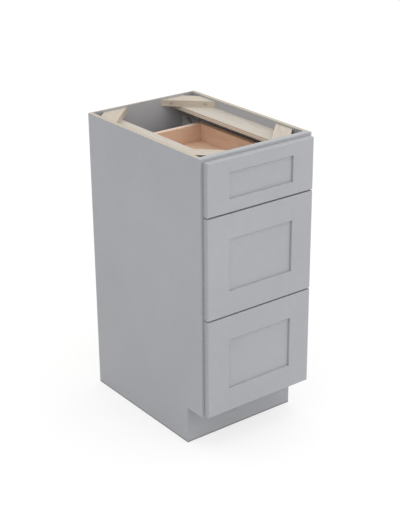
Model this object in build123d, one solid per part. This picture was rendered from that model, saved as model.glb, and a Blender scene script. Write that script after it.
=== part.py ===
"""Vanity drawer base cabinet with three drawers on undermount runners.

Millimetres. +X right, +Y to the wall, +Z up. The origin is at the bottom centre of the whole box.
"""
from build123d import *
import math
import os

# Cabinet box
cabinet_width = 381.0
cabinet_height = 876.3
cabinet_depth = 533.4
side_thickness = 12.7
back_thickness = 6.35
bottom_thickness = 12.7
dado_depth = 6.35
bottom_lift = 12.7

# Toe kick
toe_kick_height = 114.3
toe_kick_setback = 69.85
toe_board_thickness = 12.7

# Face frame
frame_thickness = 19.05
stile_width = 38.1
top_rail_height = 38.1
middle_rail_height = 31.75
bottom_rail_height = 38.1
frame_tenon_length = 12.7
frame_tenon_thickness = 6.35
frame_tenon_shoulder = 6.35

# Corner braces and top stretchers
brace_width = 56.0
brace_thickness = 19.05
brace_corner_leg = 36.5
front_brace_corner_leg = 46.0
brace_recess = 5.6
stretcher_width = 71.8
stretcher_thickness = 12.7
counter_hole_radius = 1.6

# Drawer fronts
front_thickness = 19.05
front_side_reveal = 7.5
front_top_reveal = 8.0
front_bottom_reveal = 4.0
front_gap = 4.0
top_front_height = 150.4
front_stile_width = 73.0
deep_front_rail = 71.5
top_front_rail = 37.7
front_edge_radius = 3.0
front_inner_radius = 1.0
panel_thickness = 6.35
panel_recess = 6.35
panel_groove_depth = 9.5
panel_play = 1.5

# Bumper pads
bumper_thickness = 1.0
bumper_radius = 4.0
bumper_edge_inset = 14.0
bumper_end_inset = 22.0

# Drawer boxes
box_wall = 15.875
box_side_gap = 5.1
box_lift = 5.2
box_rear_space = 87.0
top_headroom = 29.2
deep_headroom = 47.2
box_bottom_thickness = 6.35
box_bottom_recess = 12.7
box_groove_depth = 6.35
dovetail_pitch = 25.4
dovetail_slope = 8.0
dovetail_share = 0.6

# Runners, one pair for each drawer
runner_sheet = 1.5
runner_play = 0.4
runner_front_inset = 2.0
runner_flange_height = 23.0
runner_lip_height = 7.0
runner_channel_play = 1.0
middle_member_width = 16.0
drawer_member_gap = 2.9
runner_rear_reach = 12.0

# Rear brackets
bracket_sheet = 2.0
bracket_plate_width = 36.0
bracket_plate_drop = 5.0
bracket_plate_rise = 75.0
bracket_overlap = 26.0
bracket_side_gap = 1.0
bracket_screw_inset = 11.0
bracket_flange_depth = 14.0
bracket_wing_depth = 30.0
bracket_wing_lip = 7.0
bracket_slot_height = 4.5
bracket_slot_depth = 22.0

# Locking clips
clip_length = 52.0
clip_width = 24.0
clip_height = 9.5
clip_gap = 1.5
clip_hook_length = 14.0
clip_hook_height = 5.0
clip_lever_length = 16.0
clip_lever_height = 4.0

# Screws
screw_radius = 2.0
screw_head_radius = 3.8
screw_head_height = 1.8
screw_play = 0.05
screw_cover = 1.5
pocket_radius = 4.8
pocket_end_inset = 21.8
pocket_floor = 13.0
runner_screw_bite = 16.0
runner_screw_height = 13.0
front_screw_bite = 12.0
front_screw_edge_inset = 5.5
front_screw_end_inset = 16.0

# Planes worked out from the sizes above
overall_depth = cabinet_depth + bumper_thickness + front_thickness
half_width = cabinet_width / 2
inner_half = half_width - side_thickness
front_face_y = -overall_depth / 2
front_back_y = front_face_y + front_thickness
frame_front_y = front_back_y + bumper_thickness
frame_back_y = frame_front_y + frame_thickness
back_y = overall_depth / 2
back_inner_y = back_y - back_thickness
toe_front_y = frame_front_y + toe_kick_setback
bottom_z = toe_kick_height + bottom_lift
opening_half = half_width - stile_width

# Drawer fronts from the top down, as (low z, high z)
front_half = half_width - front_side_reveal
fronts_top_z = cabinet_height - front_top_reveal
fronts_bottom_z = toe_kick_height + front_bottom_reveal
deep_front_height = (fronts_top_z - fronts_bottom_z - top_front_height - 2 * front_gap) / 2
top_front = (fronts_top_z - top_front_height, fronts_top_z)
middle_front = (top_front[0] - front_gap - deep_front_height, top_front[0] - front_gap)
bottom_front = (fronts_bottom_z, fronts_bottom_z + deep_front_height)

# Face frame rails, as (low z, high z): the middle rails lie behind the gaps between the fronts
upper_gap_z = top_front[0] - front_gap / 2
lower_gap_z = middle_front[0] - front_gap / 2
top_rail = (cabinet_height - top_rail_height, cabinet_height)
upper_rail = (upper_gap_z - middle_rail_height / 2, upper_gap_z + middle_rail_height / 2)
lower_rail = (lower_gap_z - middle_rail_height / 2, lower_gap_z + middle_rail_height / 2)
bottom_rail = (toe_kick_height, toe_kick_height + bottom_rail_height)

# Drawer boxes
box_half = opening_half - box_side_gap
box_inner_half = box_half - box_wall
box_front_y = front_back_y
box_front_inner_y = box_front_y + box_wall
box_back_y = back_inner_y - box_rear_space
box_back_inner_y = box_back_y - box_wall
top_box_height = top_rail[0] - upper_rail[1] - box_lift - top_headroom
middle_opening_height = upper_rail[0] - lower_rail[1]
bottom_opening_height = lower_rail[0] - bottom_rail[1]
deep_box_height = min(middle_opening_height, bottom_opening_height) - box_lift - deep_headroom

# Each drawer: its front, the rail it runs over, its box height and its front's rail height
drawers = {
    "top": (top_front, upper_rail[1], top_box_height, top_front_rail),
    "middle": (middle_front, lower_rail[1], deep_box_height, deep_front_rail),
    "bottom": (bottom_front, bottom_rail[1], deep_box_height, deep_front_rail),
}

# Braces
brace_top_z = cabinet_height - brace_recess
brace_low_z = brace_top_z - brace_thickness
brace_long_leg = brace_corner_leg + brace_width * math.sqrt(2)
brace_hole_leg = (brace_corner_leg + brace_long_leg) / 4
stretcher_low_z = brace_low_z - stretcher_thickness

# Runner planes, for the right side: across from the opening's edge, up from the rail
flange_x = opening_half - runner_sheet
drawer_member_outer = box_inner_half - drawer_member_gap
middle_member_outer = drawer_member_outer - runner_sheet - runner_channel_play
middle_member_inner = middle_member_outer - middle_member_width
drawer_member_inner = middle_member_inner - runner_channel_play - runner_sheet
lip_outer = drawer_member_inner - runner_channel_play
lip_inner = lip_outer - runner_sheet
member_front_y = frame_front_y + runner_front_inset
channel_front_y = box_front_inner_y + runner_front_inset
member_rear_y = box_back_y + runner_rear_reach


def block(low, high):
    """Box between two opposite corners."""
    size = [b - a for a, b in zip(low, high)]
    centre = [(a + b) / 2 for a, b in zip(low, high)]
    return Pos(*centre) * Box(*size)


def rod(start, direction, radius, length):
    """Cylinder from a start point along a direction."""
    return extrude(Plane(start, z_dir=direction) * Circle(radius), length)


def prism(points, plane, depth):
    """Straight-sided solid of an outline on a plane."""
    outline = make_face(Polyline(*points, close=True))
    return extrude(plane * outline, depth)


def mirrored(part):
    """The same piece on the other side of the cabinet."""
    return mirror(part, Plane.YZ)


def screw(seat, direction, length):
    """Pan head standing on its seat, and a shank going into the work."""
    back = tuple(-d for d in direction)
    head = rod(seat, back, screw_head_radius, screw_head_height)
    rim = head.faces().sort_by(Axis(seat, back))[-1].edges()
    head = fillet(rim, screw_head_height / 2)
    return head + rod(seat, direction, screw_radius, length)


def screw_hole(seat, direction, length):
    """Hole that a screw's shank fills."""
    return rod(seat, direction, screw_radius + screw_play, length + screw_play)


def save(name, solids):
    """Write one node, of one solid or a group of separate solids."""
    group = solids if isinstance(solids, list) else [solids]
    export_step(Compound(children=[Solid(s.solid().wrapped) for s in group]), f"parts/{name}.step")


# Places of the screws
def runner_screw_seat(rail_top):
    """Where the right runner's front screw enters the stile's inner edge."""
    return (flange_x, frame_front_y + frame_thickness / 2, rail_top + runner_screw_height)


bracket_plate_outer = inner_half - bracket_side_gap
bracket_plate_inner = bracket_plate_outer - bracket_plate_width
bracket_face_y = back_inner_y - bracket_sheet


def bracket_screw_seats(rail_top):
    """Where the right rear bracket's screws enter the back panel."""
    x = bracket_plate_outer - bracket_screw_inset
    low = rail_top - bracket_plate_drop + bracket_screw_inset
    high = rail_top + bracket_plate_rise - bracket_screw_inset
    return [(x, bracket_face_y, low), (x, bracket_face_y, high)]


bracket_screw_length = bracket_sheet + back_thickness - screw_cover
runner_screw_length = runner_sheet + runner_screw_bite


def brace_corners():
    """Each brace: name, side, place of the wall it meets, way off it, its thickness, corner leg."""
    for side, sx in (("left", -1), ("right", 1)):
        yield f"front_{side}_brace", sx, frame_back_y, 1, frame_thickness, front_brace_corner_leg
        yield f"back_{side}_brace", sx, back_inner_y, -1, back_thickness, brace_corner_leg


def pocket_screws(sx, wall_y, sy, wall_thickness):
    """The two screws of one brace, into the side and the wall: seat, direction and length."""
    z = (brace_top_z + brace_low_z) / 2
    long_way = brace_long_leg - pocket_end_inset
    side_seat = (sx * (inner_half - pocket_floor), wall_y + sy * long_way, z)
    wall_seat = (sx * (inner_half - long_way), wall_y + sy * pocket_floor, z)
    side_length = pocket_floor + side_thickness - screw_cover
    wall_length = pocket_floor + wall_thickness - screw_cover
    return [(side_seat, (sx, 0, 0), side_length), (wall_seat, (0, -sy, 0), wall_length)]


all_pocket_screws = [screw for _, *place, _ in brace_corners() for screw in pocket_screws(*place)]


# Cabinet box
def side_panel():
    """Right side: toe kick notch, groove for the bottom, rabbet for the back."""
    panel = block((inner_half, frame_back_y, 0), (half_width, back_y, cabinet_height))
    panel -= block((inner_half, frame_back_y, 0), (half_width, toe_front_y, toe_kick_height))
    groove_x = inner_half + dado_depth
    panel -= block((inner_half, frame_back_y, bottom_z), (groove_x, back_y, bottom_z + bottom_thickness))
    panel -= block((inner_half, back_inner_y, 0), (groove_x, back_y, cabinet_height))
    for seat, direction, length in all_pocket_screws:
        if direction[0] > 0:
            panel -= screw_hole(seat, direction, length)
    return panel


def back_panel():
    """Thin back in the rabbets of the sides."""
    half = inner_half + dado_depth
    panel = block((-half, back_inner_y, 0), (half, back_y, cabinet_height))
    for seat, direction, length in all_pocket_screws:
        if direction[1] > 0:
            panel -= screw_hole(seat, direction, length)
    for _, rail_top, _, _ in drawers.values():
        for seat in bracket_screw_seats(rail_top):
            hole = screw_hole(seat, (0, 1, 0), bracket_screw_length)
            panel -= hole
            panel -= mirrored(hole)
    return panel


def bottom_panel():
    """Floor of the cabinet, in the grooves of the sides."""
    half = inner_half + dado_depth
    return block((-half, frame_back_y, bottom_z), (half, back_inner_y, bottom_z + bottom_thickness))


def toe_board():
    """Toe kick board between the sides, from the floor to the bottom panel."""
    low = (-inner_half, toe_front_y, 0)
    return block(low, (inner_half, toe_front_y + toe_board_thickness, bottom_z))


# Face frame
tenon_front_y = frame_front_y + (frame_thickness - frame_tenon_thickness) / 2
tenon_back_y = tenon_front_y + frame_tenon_thickness


def rail_tenon(rail, start, end):
    """Tenon of a rail between two places across the cabinet."""
    low_z = rail[0] + frame_tenon_shoulder
    high_z = rail[1] - frame_tenon_shoulder
    return block((start, tenon_front_y, low_z), (end, tenon_back_y, high_z))


def frame_stile():
    """Right stile, with a mortise for each rail."""
    stile = block((opening_half, frame_front_y, toe_kick_height), (half_width, frame_back_y, cabinet_height))
    for rail in (top_rail, upper_rail, lower_rail, bottom_rail):
        stile -= rail_tenon(rail, opening_half, opening_half + frame_tenon_length)
    for _, rail_top, _, _ in drawers.values():
        stile -= screw_hole(runner_screw_seat(rail_top), (1, 0, 0), runner_screw_length)
    return stile


def frame_rail(rail):
    """Rail with a tenon at each end."""
    board = block((-opening_half, frame_front_y, rail[0]), (opening_half, frame_back_y, rail[1]))
    reach = opening_half + frame_tenon_length
    board += rail_tenon(rail, -reach, reach)
    for seat, direction, length in all_pocket_screws:
        if direction[1] < 0 and rail is top_rail:
            board -= screw_hole(seat, direction, length)
    return board


# Braces and stretchers
def counter_hole(sx, wall_y, sy, low_z, high_z):
    """Upright hole for the screw that holds the countertop."""
    start = (sx * (inner_half - brace_hole_leg), wall_y + sy * brace_hole_leg, low_z)
    return rod(start, (0, 0, 1), counter_hole_radius, high_z - low_z)


def brace(sx, wall_y, sy, wall_thickness, corner_leg):
    """Diagonal strip across a corner, cut square to both walls, with two screw pockets."""
    legs = [(corner_leg, 0), (brace_long_leg, 0), (0, brace_long_leg), (0, corner_leg)]
    outline = [(sx * (inner_half - a), wall_y + sy * b) for a, b in legs]
    strip = prism(outline, Plane((0, 0, brace_low_z)), brace_thickness)
    for seat, direction, length in pocket_screws(sx, wall_y, sy, wall_thickness):
        away = tuple(-d for d in direction)
        strip -= screw_hole(seat, direction, length)
        strip -= rod(seat, away, pocket_radius, brace_width)
    return strip - counter_hole(sx, wall_y, sy, brace_low_z, brace_top_z)


def stretcher():
    """Right top stretcher from the face frame to the back."""
    low = (inner_half - stretcher_width, frame_back_y, stretcher_low_z)
    board = block(low, (inner_half, back_inner_y, brace_low_z))
    for wall_y, sy in ((frame_back_y, 1), (back_inner_y, -1)):
        board -= counter_hole(1, wall_y, sy, stretcher_low_z, brace_low_z)
    return board


# Drawer boxes
def tails(sx, end_y, way, low_z, high_z):
    """Dovetails of a side board: wide at the board's end, narrow at the shoulder."""
    count = max(2, round((high_z - low_z) / dovetail_pitch))
    pitch = (high_z - low_z) / count
    wide = pitch * dovetail_share / 2
    narrow = wide - box_wall / dovetail_slope
    shoulder_y = end_y + way * box_wall
    plane = Plane((min(sx * box_half, sx * box_inner_half), 0, 0), x_dir=(0, 1, 0), z_dir=(1, 0, 0))
    teeth = []
    for i in range(count):
        z = low_z + (i + 0.5) * pitch
        outline = [(end_y, z - wide), (end_y, z + wide), (shoulder_y, z + narrow), (shoulder_y, z - narrow)]
        teeth.append(prism(outline, plane, box_wall))
    return teeth


def box_bottom(low_z):
    """Bottom panel of a drawer box, let into the front and sides and flush with the back."""
    half = box_inner_half + box_groove_depth
    floor_z = low_z + box_bottom_recess
    return block(
        (-half, box_front_inner_y - box_groove_depth, floor_z),
        (half, box_back_y, floor_z + box_bottom_thickness),
    )


def box_levels(low_z, height):
    """Top of the bottom panel, and top of the box."""
    return low_z + box_bottom_recess + box_bottom_thickness, low_z + height


def box_side(low_z, height):
    """Right side of a drawer box, with tails at both ends and a groove for the bottom."""
    floor_z, high_z = box_levels(low_z, height)
    board = block((box_inner_half, box_front_inner_y, low_z), (box_half, box_back_inner_y, high_z))
    board += block((box_inner_half, box_back_inner_y, low_z), (box_half, box_back_y, floor_z))
    for tooth in tails(1, box_front_y, 1, low_z, high_z) + tails(1, box_back_y, -1, floor_z, high_z):
        board += tooth
    return board - box_bottom(low_z)


def front_screw_seats(low_z, height):
    """Where the screws enter the inside of the box front."""
    floor_z, high_z = box_levels(low_z, height)
    x = box_inner_half - front_screw_edge_inset
    levels = (floor_z + front_screw_end_inset, high_z - front_screw_end_inset)
    return [(sx * x, box_front_inner_y, z) for sx in (-1, 1) for z in levels]


front_screw_length = box_wall + front_screw_bite


def box_front(low_z, height):
    """Front of a drawer box, cut to take the tails of the sides."""
    _, high_z = box_levels(low_z, height)
    board = block((-box_half, box_front_y, low_z), (box_half, box_front_inner_y, high_z))
    for sx in (-1, 1):
        for tooth in tails(sx, box_front_y, 1, low_z, high_z):
            board -= tooth
    return without_front_screws(board, low_z, height) - box_bottom(low_z)


def box_back(low_z, height):
    """Back of a drawer box, standing on the bottom panel."""
    floor_z, high_z = box_levels(low_z, height)
    board = block((-box_half, box_back_inner_y, floor_z), (box_half, box_back_y, high_z))
    for sx in (-1, 1):
        for tooth in tails(sx, box_back_y, -1, floor_z, high_z):
            board -= tooth
    return board


# Drawer fronts
def front_groove(front, rail_height, play):
    """Space of the panel in its frame, with some play at its edges."""
    reach = panel_groove_depth - play
    half = front_half - front_stile_width + reach
    y = front_face_y + panel_recess
    return block(
        (-half, y, front[0] + rail_height - reach),
        (half, y + panel_thickness, front[1] - rail_height + reach),
    )


def without_front_screws(board, low_z, height):
    """Piece of a drawer front with holes for the screws that hold it."""
    for seat in front_screw_seats(low_z, height):
        board -= screw_hole(seat, (0, -1, 0), front_screw_length)
    return board


def stile_easing(front, rail_height):
    """Sliver that rounds off the right stile's inner edge between the rails."""
    inner = front_half - front_stile_width
    centre = (inner + front_inner_radius, front_face_y + front_inner_radius)
    low_z = front[0] + rail_height
    high_z = front[1] - rail_height
    corner = block((inner, front_face_y, low_z), (*centre, high_z))
    return corner - rod((*centre, low_z), (0, 0, 1), front_inner_radius, high_z - low_z)


def front_stile(front, low_z, height, rail_height):
    """Right stile of a drawer front, grooved for the rails and panel."""
    inner = front_half - front_stile_width
    board = block((inner, front_face_y, front[0]), (front_half, front_back_y, front[1]))
    face = board.faces().sort_by(Axis.Y)[0]
    rounded = face.edges().sort_by(Axis.X)[1:]
    board = fillet(rounded, front_edge_radius) - stile_easing(front, rail_height)
    y = front_face_y + panel_recess
    board -= block((inner, y, front[0]), (inner + panel_groove_depth, y + panel_thickness, front[1]))
    return without_front_screws(board, low_z, height)


def front_rail(front, low_z, height, rail_height, upper):
    """Rail of a drawer front, with stub tenons in the stiles and a groove for the panel."""
    half = front_half - front_stile_width
    rail_z = front[1] - rail_height if upper else front[0]
    board = block((-half, front_face_y, rail_z), (half, front_back_y, rail_z + rail_height))
    outer, inner = (-1, 0) if upper else (0, -1)
    for edge, radius in ((outer, front_edge_radius), (inner, front_inner_radius)):
        face = board.faces().sort_by(Axis.Y)[0]
        board = fillet(face.edges().sort_by(Axis.Z)[edge], radius)
    y = front_face_y + panel_recess
    reach = half + panel_groove_depth
    board += block((-reach, y, rail_z), (reach, y + panel_thickness, rail_z + rail_height))
    board -= front_groove(front, rail_height, 0)
    return without_front_screws(board, low_z, height)


# Runners, right side
def cabinet_member(rail_top):
    """Bent steel profile over the rail: side flange, web and inner lip."""
    web_top = rail_top + runner_sheet
    web = block((lip_inner, member_front_y, rail_top), (opening_half, member_rear_y, web_top))
    flange_top = rail_top + runner_flange_height
    flange = block((flange_x, member_front_y, rail_top), (opening_half, member_rear_y, flange_top))
    lip_top = rail_top + runner_lip_height
    lip = block((lip_inner, channel_front_y, rail_top), (lip_outer, member_rear_y, lip_top))
    member = web + flange + lip
    return member - screw_hole(runner_screw_seat(rail_top), (1, 0, 0), runner_screw_length)


def middle_member(rail_top):
    """Channel that runs between the cabinet member and the drawer member."""
    low_z = rail_top + runner_sheet + runner_play
    high_z = rail_top + box_lift + box_bottom_recess - runner_sheet - runner_play
    channel = block((middle_member_inner, channel_front_y, low_z), (middle_member_outer, box_back_y, high_z))
    inside = block(
        (middle_member_inner + runner_sheet, channel_front_y, low_z + runner_sheet),
        (middle_member_outer - runner_sheet, box_back_y, high_z),
    )
    return channel - inside


def drawer_member(rail_top):
    """Inverted channel under the drawer's bottom panel."""
    low_z = rail_top + runner_sheet + runner_channel_play
    high_z = rail_top + box_lift + box_bottom_recess
    channel = block((drawer_member_inner, channel_front_y, low_z), (drawer_member_outer, box_back_y, high_z))
    inside = block(
        (drawer_member_inner + runner_sheet, channel_front_y, low_z),
        (drawer_member_outer - runner_sheet, box_back_y, high_z - runner_sheet),
    )
    return channel - inside


def locking_clip(rail_top):
    """Clip in the corner under the bottom panel, hooked on the drawer member, with a release lever."""
    panel_z = rail_top + box_lift + box_bottom_recess
    outer = lip_inner - clip_gap
    low = (outer - clip_width, box_front_inner_y, panel_z - clip_height)
    clip = block(low, (outer, box_front_inner_y + clip_length, panel_z))
    corners = clip.edges().filter_by(Axis.Z).group_by(Axis.Y)[-1]
    clip = fillet(corners, clip_gap)
    hook_y = channel_front_y + clip_gap
    clip += block(
        (outer - clip_gap, hook_y, panel_z - clip_hook_height),
        (drawer_member_inner, hook_y + clip_hook_length, panel_z),
    )
    lever_y = box_front_inner_y + clip_gap
    clip += block(
        (low[0] - clip_lever_length, lever_y, panel_z - clip_lever_height),
        (outer - clip_width, lever_y + clip_hook_length, panel_z),
    )
    return clip


def rear_bracket(rail_top):
    """Plate on the back panel, folded at the top, with a slotted wing and an arm under the runner."""
    plate = block(
        (bracket_plate_inner, bracket_face_y, rail_top - bracket_plate_drop),
        (bracket_plate_outer, back_inner_y, rail_top + bracket_plate_rise),
    )
    upright = plate.edges().filter_by(Axis.Y)
    plate = fillet(upright, bracket_sheet)
    arm_front_y = member_rear_y - bracket_overlap
    outline = [
        (arm_front_y, rail_top),
        (bracket_face_y, rail_top),
        (bracket_face_y, rail_top + bracket_plate_rise - bracket_screw_inset),
        (arm_front_y, rail_top + runner_flange_height),
    ]
    arm_plane = Plane((opening_half, 0, 0), x_dir=(0, 1, 0), z_dir=(1, 0, 0))
    bracket = plate + prism(outline, arm_plane, bracket_sheet)
    plate_top = rail_top + bracket_plate_rise
    flange_front_y = bracket_face_y - bracket_flange_depth
    bracket += block(
        (bracket_plate_inner + bracket_sheet, flange_front_y, plate_top - bracket_sheet),
        (bracket_plate_outer - bracket_sheet, back_inner_y, plate_top),
    )
    wing_inner = bracket_plate_outer - bracket_sheet
    wing_front_y = bracket_face_y - bracket_wing_depth
    wing_low_z = rail_top - bracket_plate_drop + bracket_sheet
    wing_top_z = plate_top - 2 * bracket_sheet
    bracket += block((wing_inner, wing_front_y, wing_low_z), (bracket_plate_outer, back_inner_y, wing_top_z))
    slot_top_z = wing_top_z - bracket_wing_lip
    bracket -= block(
        (wing_inner, wing_front_y, slot_top_z - bracket_slot_height),
        (bracket_plate_outer, wing_front_y + bracket_slot_depth, slot_top_z),
    )
    for seat in bracket_screw_seats(rail_top):
        bracket -= screw_hole(seat, (0, 1, 0), bracket_screw_length)
    return bracket


def bumpers(front):
    """Four pads on the face frame behind the corners of a drawer front."""
    x = front_half - bumper_edge_inset
    levels = (front[0] + bumper_end_inset, front[1] - bumper_end_inset)
    spots = [(sx * x, frame_front_y, z) for sx in (-1, 1) for z in levels]
    return [rod(spot, (0, -1, 0), bumper_radius, bumper_thickness) for spot in spots]


def both_sides(part):
    """A right-hand piece and its mirror image."""
    return [mirrored(part), part]


def save_cabinet():
    """Everything that stays still."""
    right_side = side_panel()
    save("left_side_panel", mirrored(right_side))
    save("right_side_panel", right_side)
    save("back_panel", back_panel())
    save("bottom_panel", bottom_panel())
    save("toe_kick_board", toe_board())
    right_stile = frame_stile()
    save("left_frame_stile", mirrored(right_stile))
    save("right_frame_stile", right_stile)
    save("top_frame_rail", frame_rail(top_rail))
    save("upper_frame_rail", frame_rail(upper_rail))
    save("lower_frame_rail", frame_rail(lower_rail))
    save("bottom_frame_rail", frame_rail(bottom_rail))
    for name, *place in brace_corners():
        save(name, brace(*place))
    right_stretcher = stretcher()
    save("left_top_stretcher", mirrored(right_stretcher))
    save("right_top_stretcher", right_stretcher)
    save("brace_screws", [screw(*place) for place in all_pocket_screws])
    runner_screws = []
    brackets = []
    pads = []
    for front, rail_top, _, _ in drawers.values():
        front_screw = screw(runner_screw_seat(rail_top), (1, 0, 0), runner_screw_length)
        runner_screws += both_sides(front_screw)
        for seat in bracket_screw_seats(rail_top):
            runner_screws += both_sides(screw(seat, (0, 1, 0), bracket_screw_length))
        brackets += both_sides(rear_bracket(rail_top))
        pads += bumpers(front)
    save("runner_screws", runner_screws)
    save("runner_rear_brackets", brackets)
    save("bumper_pads", pads)


def save_drawer(name, front, rail_top, height, rail_height):
    """One drawer with its front, box and runners."""
    low_z = rail_top + box_lift
    right_side = box_side(low_z, height)
    save(f"{name}_box_left_side", mirrored(right_side))
    save(f"{name}_box_right_side", right_side)
    save(f"{name}_box_front", box_front(low_z, height))
    save(f"{name}_box_back", box_back(low_z, height))
    save(f"{name}_box_bottom", box_bottom(low_z))
    save(f"{name}_front_stiles", both_sides(front_stile(front, low_z, height, rail_height)))
    rails = [front_rail(front, low_z, height, rail_height, upper) for upper in (False, True)]
    save(f"{name}_front_rails", rails)
    panel = front_groove(front, rail_height, panel_play)
    save(f"{name}_front_panel", without_front_screws(panel, low_z, height))
    seats = front_screw_seats(low_z, height)
    save(f"{name}_front_screws", [screw(seat, (0, -1, 0), front_screw_length) for seat in seats])
    save(f"{name}_runner_cabinet_members", both_sides(cabinet_member(rail_top)))
    save(f"{name}_runner_middle_members", both_sides(middle_member(rail_top)))
    save(f"{name}_runner_drawer_members", both_sides(drawer_member(rail_top)))
    save(f"{name}_locking_clips", both_sides(locking_clip(rail_top)))


os.makedirs("parts", exist_ok=True)
save_cabinet()
for drawer_name, drawer in drawers.items():
    save_drawer(drawer_name, *drawer)
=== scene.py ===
import math

import bmesh
import bpy
from mathutils import Matrix, Vector


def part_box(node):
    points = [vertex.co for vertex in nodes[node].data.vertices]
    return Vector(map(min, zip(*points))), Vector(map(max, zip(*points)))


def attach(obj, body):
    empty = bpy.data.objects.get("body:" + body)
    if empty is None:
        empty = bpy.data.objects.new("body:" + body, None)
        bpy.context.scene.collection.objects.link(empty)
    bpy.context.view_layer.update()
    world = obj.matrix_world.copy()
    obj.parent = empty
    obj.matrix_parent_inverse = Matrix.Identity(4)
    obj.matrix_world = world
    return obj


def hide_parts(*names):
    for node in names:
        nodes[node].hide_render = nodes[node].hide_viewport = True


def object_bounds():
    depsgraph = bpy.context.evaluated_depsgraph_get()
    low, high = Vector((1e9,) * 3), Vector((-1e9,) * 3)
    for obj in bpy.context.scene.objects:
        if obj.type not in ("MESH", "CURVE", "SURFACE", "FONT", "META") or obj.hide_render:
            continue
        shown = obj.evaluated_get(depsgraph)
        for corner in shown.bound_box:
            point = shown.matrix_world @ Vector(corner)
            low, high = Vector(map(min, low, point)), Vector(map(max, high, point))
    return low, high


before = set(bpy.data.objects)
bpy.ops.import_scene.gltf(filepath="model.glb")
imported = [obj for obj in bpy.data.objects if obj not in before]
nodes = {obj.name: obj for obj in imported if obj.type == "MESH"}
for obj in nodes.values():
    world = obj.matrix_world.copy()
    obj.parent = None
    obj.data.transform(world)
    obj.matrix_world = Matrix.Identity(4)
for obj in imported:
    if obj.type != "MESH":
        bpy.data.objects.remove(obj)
cad_low, cad_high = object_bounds()

DRAWERS = ("top", "middle", "bottom")
AXES = {"X": 0, "Y": 1, "Z": 2}

# Camera, fitted to the photograph's 400 by 532 frame
CAMERA_AZIMUTH = math.radians(-36.95)
CAMERA_ELEVATION = math.radians(23.69)
CAMERA_ROLL = math.radians(-0.50)
CAMERA_DISTANCE = 3.655
CAMERA_TARGET = Vector((0.0016, 0.0036, 0.4381))
CAMERA_LENS = 84.12
CAMERA_SENSOR = 36.0
CAMERA_REACH = 200.0

# Light
SKY_ZENITH = 1.345
SKY_HORIZON = 0.3
KEY_PLACE = Vector((1.2, -3.2, 1.75))
KEY_SIZE = 2.4
KEY_POWER = 19.5
FILL_PLACE = Vector((-2.3, -3.0, 2.3))
FILL_SIZE = 1.6
FILL_POWER = 8.0
LAMP_AIM = Vector((0.0, 0.0, 0.45))

# Floor: its colour to the light, its colour to the eye, and the glow that lifts that to white
FLOOR_SIZE = 60.0
FLOOR_DROP = 0.0005
FLOOR_WHITE = (0.70, 0.70, 0.70)
FLOOR_SEEN = (0.36, 0.36, 0.36)
FLOOR_GLOW = 0.66
FLOOR_ROUGHNESS = 0.9

# Colours, as light reflected
WHITE = (1.0, 1.0, 1.0)
PAINT = (0.448, 0.453, 0.476)
PLY_LIGHT = (0.71, 0.645, 0.55)
PLY_DARK = (0.51, 0.43, 0.335)
MAPLE_LIGHT = (0.645, 0.575, 0.485)
MAPLE_DARK = (0.53, 0.45, 0.355)
STRETCHER_LIGHT = (0.65, 0.60, 0.53)
STRETCHER_DARK = (0.54, 0.48, 0.40)
# The stretcher edge is lighter than the plywood's own colour: painted light on an edge that faces into shade
STRETCHER_EDGE_PAINTED_LIGHT = (0.80, 0.715, 0.605)
BOX_LIGHT = (0.785, 0.565, 0.425)
BOX_DARK = (0.67, 0.45, 0.32)
# The rims of the box fronts and backs are lighter than the box wood as a painted highlight
BOX_RIM_PAINTED_HIGHLIGHT = (0.86, 0.71, 0.58)
# The rims of the box sides are darker and warmer than the other rims as painted shade under the stretchers
BOX_SIDE_RIM_PAINTED_SHADE = (0.77, 0.58, 0.43)
ZINC = (0.62, 0.63, 0.64)
GALVANISED = (0.80, 0.80, 0.79)
CLIP_GREY = (0.20, 0.21, 0.225)
PAD_CLEAR = (0.86, 0.87, 0.88)

# Shades of some pieces against their colour
BACK_EDGE_SHADE = 0.88
# The corner-cut faces of the braces are darkened as painted shade of the gaps at the corners
CORNER_CUT_PAINTED_SHADE = 0.25
PLUG_SHADE = 0.8
BOX_FLOOR_SHADE = 1.05

# Places of the factor, the two colours and the result among the sockets of a colour mix
MIX_FACTOR = 0
MIX_FIRST = 6
MIX_SECOND = 7
MIX_RESULT = 2

# Spans of a noise value over which a tone changes
NARROW_SPAN = (0.35, 0.65)
WIDE_SPAN = (0.3, 0.7)

# Paint: scales per metre, shades and roughness from low to high noise, relief as depth and strength
PAINT_DRIFT_SCALE = 3.2
PAINT_DRIFT_SHADES = (0.965, 1.03)
PAINT_MOTTLE_SCALE = 42.0
PAINT_MOTTLE_SHADES = (0.975, 1.0)
PAINT_ROUGHNESS = (0.36, 0.48)
PAINT_PEEL_SCALE = 700.0
PAINT_RELIEF = (0.00006, 0.5)
PAINT_SPECULAR = 0.4

# Painted contact shadow: paint darker near the floor where painted boards stand on it
FOOT_SHADOW_SHADE = 0.6
FOOT_SHADOW_HEIGHT = 0.006

# Planed wood: rings and fibres drawn out along the grain
RING_STRETCH = 0.055
RING_OFFSET = (0.37, 0.11, 0.53)
RING_SCALE = 34.0
RING_BEND = 0.8
RING_COUNT = 5.0
RING_EARLY_END = 0.55
RING_EARLY_SHADE = 0.97
RING_LATE_PEAK = 0.92
RING_SHARE = 0.45
CLOUD_SCALE = 9.0
CLOUD_SHADE = 0.93
FIBRE_STRETCH = 0.018
FIBRE_SCALE = 900.0
FIBRE_COLOUR = (0.84, 0.81, 0.77)
FIBRE_SPAN = (0.36, 0.56)
FIBRE_SHARE = 0.7
FIBRE_ROUGHER = 0.1
FIBRE_SMOOTHER = 0.06
WOOD_RELIEF = (0.00018, 0.5)
WOOD_SPECULAR = 0.35
RAW_ROUGHNESS = 0.6
PLANED_ROUGHNESS = 0.58
RIM_ROUGHNESS = 0.5
LACQUER_ROUGHNESS = 0.42
BOX_FLOOR_FIGURE = 0.7

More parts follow.
